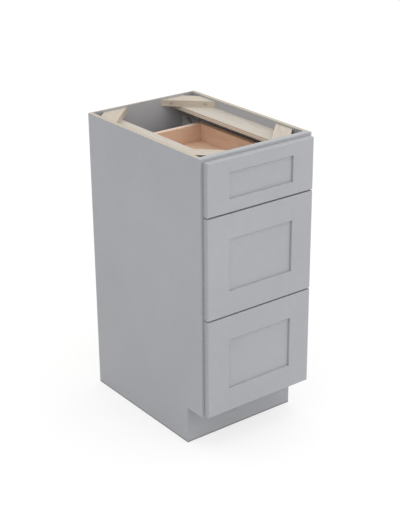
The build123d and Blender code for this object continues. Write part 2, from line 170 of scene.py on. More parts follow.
# Sawn ends of boards
END_BEND_SCALE = 22.0
END_RING_COUNT = 16.0
END_RING_SHADES = ((0.0, 1.0), (0.7, 0.9), (0.95, 0.74))
PORE_SCALE = 1900.0
PORE_COLOUR = (0.72, 0.68, 0.64)
PORE_SPAN = (0.36, 0.52)
END_ROUGHNESS = (0.86, 0.7)
END_RELIEF = (0.0002, 0.6)
END_SPECULAR = 0.2

# Cut edges of plywood: the share of a layer that shows end grain, and how soft its border is
SIDE_PLIES = 9
BACK_PLIES = 5
STRETCHER_PLIES = 4
PLY_THIN = 0.25
STRETCHER_THIN = 0.38
PLY_BORDER = 0.05
PLY_WOBBLE_SCALE = 60.0
PLY_WOBBLE = 0.00022
PLY_GRAIN_SCALE = 850.0
PLY_END_SHADES = (0.82, 1.0)
PLY_SIDE_SHADES = (0.92, 1.0)
PLY_ROUGHNESS = 0.72
PLY_END_RELIEF = 0.6
PLY_RELIEF = (0.00025, 0.6)
PLY_SPECULAR = 0.25

# Zinc-plated steel
DRAWN_STRETCH = 0.02
DRAWN_SCALE = 1500.0
ZINC_PATCH_SCALE = 90.0
ZINC_SHADES = (0.86, 1.05)
ZINC_ROUGHNESS = (0.28, 0.42)
ZINC_RELIEF = (0.00004, 0.4)

# Galvanised sheet
SPANGLE_SCALE = 260.0
SPANGLE_SPAN = (0.1, 0.7)
SPANGLE_SHADES = (1.06, 0.86)
SHEET_HAZE_SCALE = 70.0
SHEET_HAZE_SHADES = (0.88, 1.0)
SHEET_ROUGHNESS = (0.42, 0.58)
SHEET_METALLIC = 0.2

# Clear silicone of the bumper pads
PAD_HAZE_SCALE = 900.0
PAD_SHADES = (0.95, 1.0)
PAD_ROUGHNESS = (0.12, 0.24)
PAD_RELIEF = (0.00003, 0.4)
PAD_TRANSMISSION = 0.6
PAD_IOR = 1.42

# Moulded plastic of the clips
CLIP_DRIFT_SCALE = 30.0
CLIP_SHADES = (0.93, 1.05)
CLIP_GRAIN_SCALE = 1600.0
CLIP_ROUGHNESS = (0.44, 0.56)
CLIP_RELIEF = (0.00005, 0.5)

# Eased edges
BOARD_EASE = 0.0006
FRONT_EASE = 0.00015
STEEL_EASE = 0.0003
EASE_SEGMENTS = 2
SHARP_EDGE = math.radians(40)
FLAT_EDGE = math.radians(0.5)
WELD_REACH = 0.000002
NORMAL_WEIGHT = 100

# Tests that pick the faces of a node
FACE_REACH = 0.0005
SQUARE_ON = 0.9
SLANT_ON = 0.6

# Outlines of the small pieces
TIP = [(0.0, 0.0)]
ROUND_STEPS = 24
PILL_STEPS = 6
SMOOTH_ANGLE = math.radians(35)

# Round plugs in the slanted screw pockets of the braces
POCKET_RADIUS = 0.0048
POCKET_INSET = 0.0218
PLUG_GAP = 0.0002
PLUG_SINK = 0.00015
PLUG_EASE = 0.0006
PLUG_LENGTH = 0.005
PLUG_RIM = (0.94, 0.9)

# Pan-head screws with a cross recess, the dome as shares of the head's radius and height
SHANK_RADIUS = 0.002
SHANK_POINT = 0.004
HEAD_RADIUS = 0.0038
HEAD_HEIGHT = 0.0018
HEAD_WALL = 0.35
HEAD_DOME = ((0.95, 0.65), (0.84, 0.88), (0.66, 1.0))
HEAD_TEST = 1.2
CROSS_REACH = 0.0021
CROSS_HALF = 0.00045
CROSS_DEPTH = 0.0012
CROSS_FLOOR = 0.82
CROSS_DIMPLE = 1.15

# Bumper pads, the dome as shares of the pad's radius and height
PAD_WALL = 0.3
PAD_DOME = ((0.94, 0.58), (0.8, 0.8), (0.55, 0.94))
PAD_SMOOTH_ANGLE = math.radians(60)

# Staples that hold the back panel
STAPLE_LENGTH = 0.0105
STAPLE_WIDTH = 0.0013
STAPLE_PROUD = 0.00012
STAPLE_SHOULDER = 0.3
STAPLE_ROOT = 3.0
STAPLE_CROWN_TRIM = 0.0004
STAPLE_CROWN_WIDTH = 0.55
STAPLE_INSET = 0.0085
STAPLE_PITCH = 0.085
LEVEL_STAPLES = 4

# Locking clips under the drawers
CLIP_WIDTH = 0.024
CLIP_RIBS = 5
CLIP_RIB = 0.0014
CLIP_EASE = 0.0006
RIB_WIDTH = 0.002
RIB_INSET = 0.004
RIB_EASE = 0.0003
LEVER_REACH = 0.016
LEVER_RIDGES = 4
RIDGE_HEIGHT = 0.0007
RIDGE_PITCH = 0.003


def new_material(name):
    """Empty node material with its main shader."""
    material = bpy.data.materials.new(name)
    material.use_nodes = True
    tree = material.node_tree
    tree.nodes.clear()
    output = tree.nodes.new("ShaderNodeOutputMaterial")
    shader = tree.nodes.new("ShaderNodeBsdfPrincipled")
    tree.links.new(shader.outputs["BSDF"], output.inputs["Surface"])
    return material, tree, shader


def feed(tree, socket, value):
    """Link a socket to another one, or set its value; a colour gets its full opacity."""
    if isinstance(value, bpy.types.NodeSocket):
        tree.links.new(value, socket)
    elif socket.type == "RGBA":
        socket.default_value = (*value, 1.0)
    else:
        socket.default_value = value


def set_inputs(tree, made, **inputs):
    """Feed the inputs of a shader node by name."""
    for key, value in inputs.items():
        feed(tree, made.inputs[key.replace("_", " ")], value)


def node(tree, kind, **inputs):
    """Add a shader node and feed its inputs by name."""
    made = tree.nodes.new(kind)
    set_inputs(tree, made, **inputs)
    return made


def object_point(tree, scale=(1.0, 1.0, 1.0), offset=(0.0, 0.0, 0.0), turn=0.0):
    """Place on the piece itself, turned and stretched, so that a texture moves with its piece."""
    point = tree.nodes.new("ShaderNodeTexCoord").outputs["Object"]
    if turn:
        point = node(tree, "ShaderNodeMapping", Vector=point, Rotation=(0.0, 0.0, turn)).outputs["Vector"]
    return node(tree, "ShaderNodeMapping", Vector=point, Scale=scale, Location=offset).outputs["Vector"]


def stretched(grain, share):
    """Scale that draws a texture out along one axis."""
    return tuple(share if axis == grain else 1.0 for axis in AXES)


def noise(tree, point, scale, detail=4.0, roughness=0.55, distortion=0.0):
    """Noise value at a point."""
    made = node(
        tree, "ShaderNodeTexNoise", Vector=point, Scale=scale, Detail=detail,
        Roughness=roughness, Distortion=distortion,
    )
    return made.outputs["Fac"]


def ramp(tree, value, stops):
    """Colour ramp of (place, colour) stops."""
    made = node(tree, "ShaderNodeValToRGB", Fac=value)
    elements = made.color_ramp.elements
    while len(elements) < len(stops):
        elements.new(0.5)
    for element, (place, colour) in zip(elements, stops):
        element.position = place
        element.color = (*colour, 1.0)
    return made.outputs["Color"]


def scaled(colour, factor):
    """Colour made lighter or darker."""
    return tuple(c * factor for c in colour)


def shades(tree, value, colour, factors, span=NARROW_SPAN):
    """Colour that runs between two shades of itself over a span of a value."""
    return ramp(tree, value, [(place, scaled(colour, factor)) for place, factor in zip(span, factors)])


def to_range(tree, value, low, high, from_low=0.0, from_high=1.0):
    """Map a value into a range."""
    made = node(
        tree, "ShaderNodeMapRange", Value=value, From_Min=from_low, From_Max=from_high,
        To_Min=low, To_Max=high,
    )
    return made.outputs["Result"]


def mix(tree, factor, first, second, blend="MIX"):
    """Mix two colours."""
    made = tree.nodes.new("ShaderNodeMix")
    made.data_type = "RGBA"
    made.blend_type = blend
    for index, value in ((MIX_FACTOR, factor), (MIX_FIRST, first), (MIX_SECOND, second)):
        feed(tree, made.inputs[index], value)
    return made.outputs[MIX_RESULT]


def math_node(tree, operation, first, second=0.0):
    """Arithmetic on two values, or on one."""
    made = tree.nodes.new("ShaderNodeMath")
    made.operation = operation
    feed(tree, made.inputs[0], first)
    feed(tree, made.inputs[1], second)
    return made.outputs["Value"]


def bump(tree, shader, height, depth, strength):
    """Relief on a shader."""
    made = node(tree, "ShaderNodeBump", Height=height, Distance=depth, Strength=strength)
    tree.links.new(made.outputs["Normal"], shader.inputs["Normal"])


def paint_material():
    """Sprayed satin grey paint: fine orange peel, faint drift in tone and gloss, painted shadow at the foot.
    """
    material, tree, shader = new_material("grey_satin_paint")
    point = object_point(tree)
    drift = noise(tree, point, PAINT_DRIFT_SCALE, detail=3.0)
    mottle = noise(tree, point, PAINT_MOTTLE_SCALE, detail=3.0)
    tone = shades(tree, drift, PAINT, PAINT_DRIFT_SHADES, WIDE_SPAN)
    speck = shades(tree, mottle, WHITE, PAINT_MOTTLE_SHADES)
    tone = mix(tree, 1.0, tone, speck, "MULTIPLY")
    height = node(tree, "ShaderNodeSeparateXYZ", Vector=point).outputs["Z"]
    # Painted contact shadow: the paint darkens over the lowest few millimetres towards the floor
    foot_shadow = to_range(tree, height, FOOT_SHADOW_SHADE, 1.0, FOOT_SHADOW_HEIGHT / 2, FOOT_SHADOW_HEIGHT)
    peel = noise(tree, point, PAINT_PEEL_SCALE, detail=2.0)
    bump(tree, shader, peel, *PAINT_RELIEF)
    set_inputs(
        tree, shader, Base_Color=mix(tree, 1.0, tone, foot_shadow, "MULTIPLY"),
        Roughness=to_range(tree, mottle, *PAINT_ROUGHNESS), Specular_IOR_Level=PAINT_SPECULAR,
    )
    return material


def wood_material(name, light, dark, grain, roughness, figure=1.0, turn=0.0):
    """Planed wood with rings and fibres along one axis, or turned from it about the upright."""
    material, tree, shader = new_material(name)
    ring_point = object_point(tree, stretched(grain, RING_STRETCH), RING_OFFSET, turn)
    fibre_point = object_point(tree, stretched(grain, FIBRE_STRETCH), turn=turn)
    cloud = noise(tree, ring_point, CLOUD_SCALE, detail=3.0)
    swirl = noise(tree, ring_point, RING_SCALE, detail=2.0, roughness=0.5, distortion=RING_BEND * figure)
    rings = math_node(tree, "FRACT", math_node(tree, "MULTIPLY", swirl, RING_COUNT * figure))
    fibres = noise(tree, fibre_point, FIBRE_SCALE, roughness=0.65)
    early = scaled(light, RING_EARLY_SHADE)
    stops = [(0.0, light), (RING_EARLY_END, early), (RING_LATE_PEAK, dark), (1.0, light)]
    clouded = mix(tree, cloud, scaled(light, CLOUD_SHADE), light)
    ringed = mix(tree, RING_SHARE, clouded, ramp(tree, rings, stops))
    streaks = ramp(tree, fibres, list(zip(FIBRE_SPAN, (FIBRE_COLOUR, WHITE))))
    bump(tree, shader, fibres, *WOOD_RELIEF)
    set_inputs(
        tree, shader, Base_Color=mix(tree, FIBRE_SHARE, ringed, streaks, "MULTIPLY"),
        Roughness=to_range(tree, fibres, roughness + FIBRE_ROUGHER, roughness - FIBRE_SMOOTHER),
        Specular_IOR_Level=WOOD_SPECULAR,
    )
    return material


def end_grain_material(name, colour):
    """Sawn end of a board: bent year rings and open pores."""
    material, tree, shader = new_material(name)
    point = object_point(tree)
    swirl = noise(tree, point, END_BEND_SCALE, detail=2.0)
    rings = math_node(tree, "FRACT", math_node(tree, "MULTIPLY", swirl, END_RING_COUNT))
    pores = noise(tree, point, PORE_SCALE, detail=3.0, roughness=0.7)
    base = ramp(tree, rings, [(place, scaled(colour, shade)) for place, shade in END_RING_SHADES])
    holes = ramp(tree, pores, list(zip(PORE_SPAN, (PORE_COLOUR, WHITE))))
    bump(tree, shader, pores, *END_RELIEF)
    set_inputs(
        tree, shader, Base_Color=mix(tree, 1.0, base, holes, "MULTIPLY"),
        Roughness=to_range(tree, pores, *END_ROUGHNESS), Specular_IOR_Level=END_SPECULAR,
    )
    return material


def ply_edge_material(name, across, low, high, plies, light=PLY_LIGHT, dark=PLY_DARK, thin=PLY_THIN):
    """Cut edge of plywood between two faces: layers across the board, the thin ones end grain."""
    material, tree, shader = new_material(name)
    point = object_point(tree)
    place = node(tree, "ShaderNodeSeparateXYZ", Vector=point).outputs[across]
    depth = math_node(tree, "SUBTRACT", place, low)
    wobble = noise(tree, point, PLY_WOBBLE_SCALE, detail=2.0)
    depth = math_node(tree, "ADD", depth, to_range(tree, wobble, -PLY_WOBBLE, PLY_WOBBLE))
    layer = math_node(tree, "MULTIPLY", depth, plies / (high - low) / 2)
    wave = math_node(tree, "PINGPONG", layer, 0.5)
    cross_grain = to_range(tree, wave, 0.0, 1.0, thin - PLY_BORDER, thin + PLY_BORDER)
    grain = noise(tree, point, PLY_GRAIN_SCALE, detail=3.0, roughness=0.7)
    end_tone = shades(tree, grain, dark, PLY_END_SHADES)
    side_tone = shades(tree, grain, light, PLY_SIDE_SHADES)
    relief = mix(tree, cross_grain, grain, math_node(tree, "MULTIPLY", grain, PLY_END_RELIEF))
    bump(tree, shader, relief, *PLY_RELIEF)
    set_inputs(
        tree, shader, Base_Color=mix(tree, cross_grain, side_tone, end_tone),
        Roughness=PLY_ROUGHNESS, Specular_IOR_Level=PLY_SPECULAR,
    )
    return material


def zinc_material():
    """Zinc-plated steel: drawn lines along the runner and patches of tone."""
    material, tree, shader = new_material("zinc_plated_steel")
    drawn = noise(tree, object_point(tree, stretched("Y", DRAWN_STRETCH)), DRAWN_SCALE, detail=2.0)
    patches = noise(tree, object_point(tree), ZINC_PATCH_SCALE)
    bump(tree, shader, drawn, *ZINC_RELIEF)
    set_inputs(
        tree, shader, Base_Color=shades(tree, patches, ZINC, ZINC_SHADES),
        Roughness=to_range(tree, patches, *ZINC_ROUGHNESS), Metallic=1.0,
    )
    return material


def galvanised_material():
    """Dull galvanised sheet with a crystal spangle."""
    material, tree, shader = new_material("galvanised_sheet")
    point = object_point(tree)
    spangle = node(tree, "ShaderNodeTexVoronoi", Vector=point, Scale=SPANGLE_SCALE).outputs["Distance"]
    haze = noise(tree, point, SHEET_HAZE_SCALE)
    tone = shades(tree, spangle, GALVANISED, SPANGLE_SHADES, SPANGLE_SPAN)
    cloud = shades(tree, haze, WHITE, SHEET_HAZE_SHADES)
    set_inputs(
        tree, shader, Base_Color=mix(tree, 1.0, tone, cloud, "MULTIPLY"),
        Roughness=to_range(tree, haze, *SHEET_ROUGHNESS), Metallic=SHEET_METALLIC,
    )
    return material


def silicone_material():
    """Clear soft silicone with a faint haze."""
    material, tree, shader = new_material("bumper_silicone")
    haze = noise(tree, object_point(tree), PAD_HAZE_SCALE, detail=3.0)
    bump(tree, shader, haze, *PAD_RELIEF)
    set_inputs(
        tree, shader, Base_Color=shades(tree, haze, PAD_CLEAR, PAD_SHADES, WIDE_SPAN),
        Roughness=to_range(tree, haze, *PAD_ROUGHNESS), Transmission_Weight=PAD_TRANSMISSION, IOR=PAD_IOR,
    )
    return material


def plastic_material():
    """Moulded grey plastic with a fine spark-eroded grain."""
    material, tree, shader = new_material("clip_plastic")
    point = object_point(tree)
    grain = noise(tree, point, CLIP_GRAIN_SCALE, detail=2.0)
    drift = noise(tree, point, CLIP_DRIFT_SCALE, detail=2.0)
    bump(tree, shader, grain, *CLIP_RELIEF)
    set_inputs(
        tree, shader, Base_Color=shades(tree, drift, CLIP_GREY, CLIP_SHADES, WIDE_SPAN),
        Roughness=to_range(tree, grain, *CLIP_ROUGHNESS),
    )
    return material


def seen_directly(tree):
    """One for rays from the camera and for reflections, nought for the light on the object."""
    path = tree.nodes.new("ShaderNodeLightPath")
    direct = math_node(tree, "MAXIMUM", path.outputs["Is Camera Ray"], path.outputs["Is Glossy Ray"])
    return math_node(tree, "MAXIMUM", direct, path.outputs["Is Transmission Ray"])


def floor_material():
    """Pale studio floor that is seen as white and keeps the shadow."""
    material, tree, shader = new_material("studio_floor")
    seen = seen_directly(tree)
    set_inputs(
        tree, shader, Base_Color=mix(tree, seen, FLOOR_WHITE, FLOOR_SEEN),
        Emission_Strength=math_node(tree, "MULTIPLY", seen, FLOOR_GLOW), Emission_Color=WHITE,
        Roughness=FLOOR_ROUGHNESS, Specular_IOR_Level=0.0,
    )
    return material


def soften(piece, width):
    """Ease the sharp edges of a piece so that they catch the light."""
    mesh = piece.data
    if "custom_normal" in mesh.attributes:
        mesh.attributes.remove(mesh.attributes["custom_normal"])
    mesh.shade_smooth()
    weld = piece.modifiers.new("weld", "WELD")
    weld.merge_threshold = WELD_REACH
    flatten = piece.modifiers.new("flatten", "DECIMATE")
    flatten.decimate_type = "DISSOLVE"
    flatten.angle_limit = FLAT_EDGE
    flatten.delimit = {"MATERIAL"}
    bevel = piece.modifiers.new("bevel", "BEVEL")
    bevel.width = width
    bevel.segments = EASE_SEGMENTS
    bevel.limit_method = "ANGLE"
    bevel.angle_limit = SHARP_EDGE
    bevel.use_clamp_overlap = True
    normals = piece.modifiers.new("normals", "WEIGHTED_NORMAL")
    normals.weight = NORMAL_WEIGHT
    normals.keep_sharp = False


def dress(name, material, others=()):
    """Give a node its material, and other materials to the faces that a test picks."""
    mesh = nodes[name].data
    mesh.materials.clear()
    mesh.materials.append(material)
    for other, _ in others:
        mesh.materials.append(other)
    for face in mesh.polygons:
        face.material_index = 0
        for index, (_, test) in enumerate(others, start=1):
            if test(face.normal, face.center):
                face.material_index = index


def facing(axis, sign, place):
    """Test for faces that look along an axis and lie at a place on it."""
    index = AXES[axis]

    def test(normal, centre):
        return normal[index] * sign > SQUARE_ON and abs(centre[index] - place) < FACE_REACH

    return test


def slanted(out, back):
    """Test for faces that look level and slantwise into a corner."""

    def test(normal, centre):
        return normal.x * out > SLANT_ON and normal.y * back > SLANT_ON

    return test


class Shape:
    """Points and faces of one piece, made of closed skins."""

    def __init__(self):
        self.points = []
        self.faces = []

    def skin(self, rings):
        """Closed skin over rings of points; a ring of one point is a tip."""
        starts = []
        for ring in rings:
            starts.append(len(self.points))
            self.points += [tuple(point) for point in ring]
        for place in range(len(rings) - 1):
            first, second = starts[place], starts[place + 1]
            count = max(len(rings[place]), len(rings[place + 1]))
            for this in range(count):
                after = (this + 1) % count
                if len(rings[place]) == 1:
                    self.faces.append((first, second + after, second + this))
                elif len(rings[place + 1]) == 1:
                    self.faces.append((first + this, first + after, second))
                else:
                    self.faces.append((first + this, first + after, second + after, second + this))
        for start, ring in ((starts[0], rings[0]), (starts[-1], rings[-1])):
            if len(ring) > 1:
                self.faces.append(tuple(range(start, start + len(ring))))

    def stack(self, seat, out, layers, side=None, up=None):
        """Skin over flat outlines laid one after another along a direction."""
        side = side or out.orthogonal().normalized()
        up = up or out.cross(side)
        rings = []
        for outline, height in layers:
            rings.append([seat + out * height + side * u + up * v for u, v in outline])
        self.skin(rings)

    def slab(self, low, high, ease):
        """Block between two corners with eased edges."""
        size = high - low
        whole = eight_sides(size.x, size.y, ease)
        small = eight_sides(size.x - 2 * ease, size.y - 2 * ease, ease)
        seat = Vector(((low.x + high.x) / 2, (low.y + high.y) / 2, low.z))
        layers = [(small, 0.0), (whole, ease), (whole, size.z - ease), (small, size.z)]
        self.stack(seat, Vector((0, 0, 1)), layers, Vector((1, 0, 0)), Vector((0, 1, 0)))


def eight_sides(width, length, corner):
    """Rectangle with its corners cut."""
    x = width / 2
    y = length / 2
    near_x = x - corner
    near_y = y - corner
    return [
        (near_x, -y), (x, -near_y), (x, near_y), (near_x, y),
        (-near_x, y), (-x, near_y), (-x, -near_y), (-near_x, -y),
    ]


def circle(radius, angles=None):
    """Round outline."""
    angles = angles or [2 * math.pi * step / ROUND_STEPS for step in range(ROUND_STEPS)]
    return [(radius * math.cos(angle), radius * math.sin(angle)) for angle in angles]


def pill(length, width):
    """Long outline with round ends."""
    outline = []
    for sign in (1, -1):
        for step in range(PILL_STEPS + 1):
            angle = -math.pi / 2 + math.pi * step / PILL_STEPS
            u = sign * (length / 2 - width / 2 + width / 2 * math.cos(angle))
            outline.append((u, sign * width / 2 * math.sin(angle)))
    return outline


def cross_steps():
    """Angles round a screw head that meet the corners of its cross, each with its angle from the arm."""
    corner = math.atan2(CROSS_HALF, CROSS_REACH)
    middle = (corner + math.pi / 4) / 2
    offsets = (-math.pi / 4, -middle, -corner, 0.0, corner, middle)
    return [(arm * math.pi / 2 + offset, offset) for arm in range(4) for offset in offsets]


def cross(scale):
    """Outline of the cross recess."""
    outline = []
    for angle, offset in cross_steps():
        wide = CROSS_HALF / abs(math.sin(offset)) if offset else CROSS_REACH
        reach = scale * min(CROSS_REACH / math.cos(offset), wide)
        outline.append((reach * math.cos(angle), reach * math.sin(angle)))
    return outline


def add_piece(name, shape, material, body, replaced=None, smooth=SMOOTH_ANGLE):
    """Make an object of a shape that rides on a body."""
    mesh = bpy.data.meshes.new(name)
    mesh.from_pydata(shape.points, [], shape.faces)
    work = bmesh.new()
    work.from_mesh(mesh)
    bmesh.ops.recalc_face_normals(work, faces=work.faces)
    work.to_mesh(mesh)
    work.free()
    mesh.shade_smooth()
    mesh.set_sharp_from_angle(angle=smooth)
    mesh.materials.append(material)
    piece = bpy.data.objects.new(name, mesh)
    bpy.context.scene.collection.objects.link(piece)
    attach(piece, body)
    if replaced:
        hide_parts(replaced)


def corners(points):
    """Lowest and highest corner of some points."""
    low = Vector([min(point[axis] for point in points) for axis in range(3)])
    high = Vector([max(point[axis] for point in points) for axis in range(3)])
    return low, high


def solids(name):
    """Points of each separate solid of a node, in order of place."""
    work = bmesh.new()
    work.from_mesh(nodes[name].data)
    bmesh.ops.remove_doubles(work, verts=work.verts, dist=WELD_REACH)
    left = set(work.verts)
    found = []
    for start in work.verts:
        if start not in left:
            continue
        left.discard(start)
        group = [start]
        for vertex in group:
            for edge in vertex.link_edges:
                other = edge.other_vert(vertex)
                if other in left:
                    left.discard(other)
                    group.append(other)
        found.append([vertex.co.copy() for vertex in group])
    work.free()
    return sorted(found, key=lambda points: tuple(round(value, 4) for value in corners(points)[0]))


def screw_layers(length):
    """Outlines of one screw from its point to the floor of its cross, with their heights from the seat."""
    angles = [angle for angle, _ in cross_steps()]
    layers = [(TIP, -length), (circle(SHANK_RADIUS, angles), SHANK_POINT - length)]
    for radius, height in ((SHANK_RADIUS, 0.0), (HEAD_RADIUS, 0.0), (HEAD_RADIUS, HEAD_WALL * HEAD_HEIGHT)):
        layers.append((circle(radius, angles), height))
    for share, rise in HEAD_DOME:
        layers.append((circle(share * HEAD_RADIUS, angles), rise * HEAD_HEIGHT))
    layers.append((cross(1.0), HEAD_HEIGHT))
    layers.append((cross(CROSS_FLOOR), HEAD_HEIGHT - CROSS_DEPTH))
    layers.append((TIP, HEAD_HEIGHT - CROSS_DIMPLE * CROSS_DEPTH))
    return layers


def add_screws(name, source, body, material):
    """Pan-head screws with a cross recess in place of a node's plain ones."""
    shape = Shape()
    for points in solids(source):
        low, high = corners(points)
        size = high - low
        along = max(range(3), key=lambda axis: size[axis])
        middle = (low + high) / 2
        sideways = [axis for axis in range(3) if axis != along]
        head = 0.0
        for point in points:
            if max(abs(point[axis] - middle[axis]) for axis in sideways) > HEAD_TEST * SHANK_RADIUS:
                head += point[along] - middle[along]
        out = Vector((0, 0, 0))
        out[along] = 1 if head > 0 else -1
        seat = middle.copy()
        seat[along] = (high if head > 0 else low)[along]
        seat -= out * HEAD_HEIGHT
        shape.stack(seat, out, screw_layers(size[along] - HEAD_HEIGHT))
    add_piece(name, shape, material, body, source)


def add_plugs(material):
    """Wooden plugs that close the slanted screw pockets of the braces."""
    shape = Shape()
    whole = [(math.sqrt(2) * u, v) for u, v in circle(POCKET_RADIUS - PLUG_GAP)]
    rim = [(PLUG_RIM[0] * u, PLUG_RIM[1] * v) for u, v in whole]
    layers = [(rim, PLUG_SINK), (whole, PLUG_EASE), (whole, PLUG_LENGTH)]
    for end, from_wall in (("front", 1), ("back", -1)):
        for side, to_side in (("left", -1), ("right", 1)):
            low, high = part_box(f"{end}_{side}_brace")
            corner = Vector((
                high.x if to_side > 0 else low.x,
                low.y if from_wall > 0 else high.y,
                (low.z + high.z) / 2,
            ))
            far = high.x - low.x - POCKET_INSET
            along = Vector((to_side, from_wall, 0)).normalized()
            pockets = (
                (Vector((-to_side * POCKET_INSET, from_wall * far, 0)), Vector((to_side, 0, 0))),
                (Vector((-to_side * far, from_wall * POCKET_INSET, 0)), Vector((0, -from_wall, 0))),
            )
            for place, inward in pockets:
                shape.stack(corner + place, inward, layers, along, Vector((0, 0, 1)))
    add_piece("brace_pocket_plugs", shape, material, "cabinet")


def add_pads(material):
    """Domed bumper pads on the face frame."""
    shape = Shape()
    for points in solids("bumper_pads"):
        low, high = corners(points)
        middle = (low + high) / 2
        radius = (high.x - low.x) / 2
        rise = high.y - low.y
        seat = Vector((middle.x, high.y, middle.z))
        layers = [(circle(radius), 0.0), (circle(radius), PAD_WALL * rise)]
        for share, height in PAD_DOME:
            layers.append((circle(share * radius), height * rise))
        layers.append((TIP, rise))
        shape.stack(seat, Vector((0, -1, 0)), layers)
    add_piece(
        "domed_bumper_pads", shape, material, "cabinet", "bumper_pads", PAD_SMOOTH_ANGLE,
    )


def add_staples(material):
    """Rows of staples that hold the back panel to the sides and the bottom."""
    low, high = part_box("back_panel")
    floor_low, floor_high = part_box("bottom_panel")
    floor_middle = (floor_low.z + floor_high.z) / 2
    out = Vector((0, 1, 0))
    upright = Vector((0, 0, 1))
    level = Vector((1, 0, 0))
    places = []
    span = high.z - low.z - STAPLE_PITCH
    rows = int(span / STAPLE_PITCH)
    for row in range(rows + 1):
        height = low.z + STAPLE_PITCH / 2 + row * span / rows
        places.append((Vector((low.x + STAPLE_INSET, high.y, height)), upright))
        places.append((Vector((high.x - STAPLE_INSET, high.y, height)), upright))
    for step in range(LEVEL_STAPLES):
        across = (step - (LEVEL_STAPLES - 1) / 2) * STAPLE_PITCH
        places.append((Vector((across, high.y, floor_middle)), level))
    whole = pill(STAPLE_LENGTH, STAPLE_WIDTH)
    crown = pill(STAPLE_LENGTH - STAPLE_CROWN_TRIM, STAPLE_CROWN_WIDTH * STAPLE_WIDTH)
    layers = [
        (whole, -STAPLE_ROOT * STAPLE_PROUD), (whole, STAPLE_SHOULDER * STAPLE_PROUD), (crown, STAPLE_PROUD),
    ]
    shape = Shape()
    for place, along in places:
        shape.stack(place, out, layers, along, along.cross(out))
    add_piece("back_panel_staples", shape, material, "cabinet")


def block(shape, start, end, near, far, base, top, ease):
    """Eased block between two places on each axis."""
    shape.slab(Vector((min(start, end), near, base)), Vector((max(start, end), far, top)), ease)


def add_clips(drawer, material):
    """Ribbed locking clips with a ridged finger lever, in place of the plain ones."""
    shape = Shape()
    source = f"{drawer}_locking_clips"
    for points in solids(source):
        low, high = corners(points)
        out = 1 if low.x + high.x > 0 else -1
        tip, hook_end = (low.x, high.x) if out > 0 else (high.x, low.x)
        inner = tip + out * LEVER_REACH
        outer = inner + out * CLIP_WIDTH
        under = low.z + CLIP_RIB
        block(shape, inner, outer, low.y, high.y, under, high.z, CLIP_EASE)
        rib_pitch = (high.y - low.y - 2 * RIB_INSET - RIB_WIDTH) / (CLIP_RIBS - 1)
        for step in range(CLIP_RIBS):
            near = low.y + RIB_INSET + step * rib_pitch
            start = inner + out * RIB_WIDTH
            end = outer - out * RIB_WIDTH
            block(shape, start, end, near, near + RIB_WIDTH, low.z, under + CLIP_EASE, RIB_EASE)
        lever_low, lever_high = corners([p for p in points if out * (inner - p.x) > CLIP_RIB])
        foot = lever_low.z + RIDGE_HEIGHT
        block(shape, tip, inner + out * CLIP_EASE, lever_low.y, lever_high.y, foot, lever_high.z, CLIP_EASE)
        near = lever_low.y + RIB_WIDTH
        far = lever_high.y - RIB_WIDTH
        for step in range(LEVER_RIDGES):
            start = tip + out * (RIB_WIDTH + step * RIDGE_PITCH)
            end = start + out * CLIP_RIB
            block(shape, start, end, near, far, lever_low.z, foot + CLIP_EASE, RIB_EASE)
        hook_low, hook_high = corners([p for p in points if out * (p.x - outer) > CLIP_RIB])
        start = outer - out * CLIP_EASE
        block(shape, start, hook_end, hook_low.y, hook_high.y, hook_low.z, hook_high.z, CLIP_EASE)
    add_piece(f"{drawer}_ribbed_clips", shape, material, f"{drawer}_drawer", source)


def dress_shell(paint):
    """Painted boards with bare cut edges and a bare back."""
    top = cad_high.z
    back = cad_high.y
    for side in ("left", "right"):
        low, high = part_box(f"{side}_side_panel")
        edge = ply_edge_material(f"{side}_panel_edge", "X", low.x, high.x, SIDE_PLIES)
        bare = [(edge, facing("Z", 1, top)), (edge, facing("Y", 1, back)), (edge, facing("Z", -1, 0.0))]
        dress(f"{side}_side_panel", paint, bare)
    low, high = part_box("back_panel")
    light = scaled(PLY_LIGHT, BACK_EDGE_SHADE)
    dark = scaled(PLY_DARK, BACK_EDGE_SHADE)
    edge = ply_edge_material("back_panel_edge", "Y", low.y, high.y, BACK_PLIES, light, dark)
    face = wood_material("back_panel_ply", PLY_LIGHT, PLY_DARK, "Z", RAW_ROUGHNESS)
    dress("back_panel", paint, [(edge, facing("Z", 1, top)), (face, facing("Y", 1, back))])
    low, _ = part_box("bottom_panel")
    under = wood_material("bottom_panel_ply", PLY_LIGHT, PLY_DARK, "Y", RAW_ROUGHNESS)
    dress("bottom_panel", paint, [(under, facing("Z", -1, low.z))])
    for name in ("toe_kick_board", "left_frame_stile", "right_frame_stile"):
        dress(name, paint)
    for rail in ("top", "upper", "lower", "bottom"):
        dress(f"{rail}_frame_rail", paint)


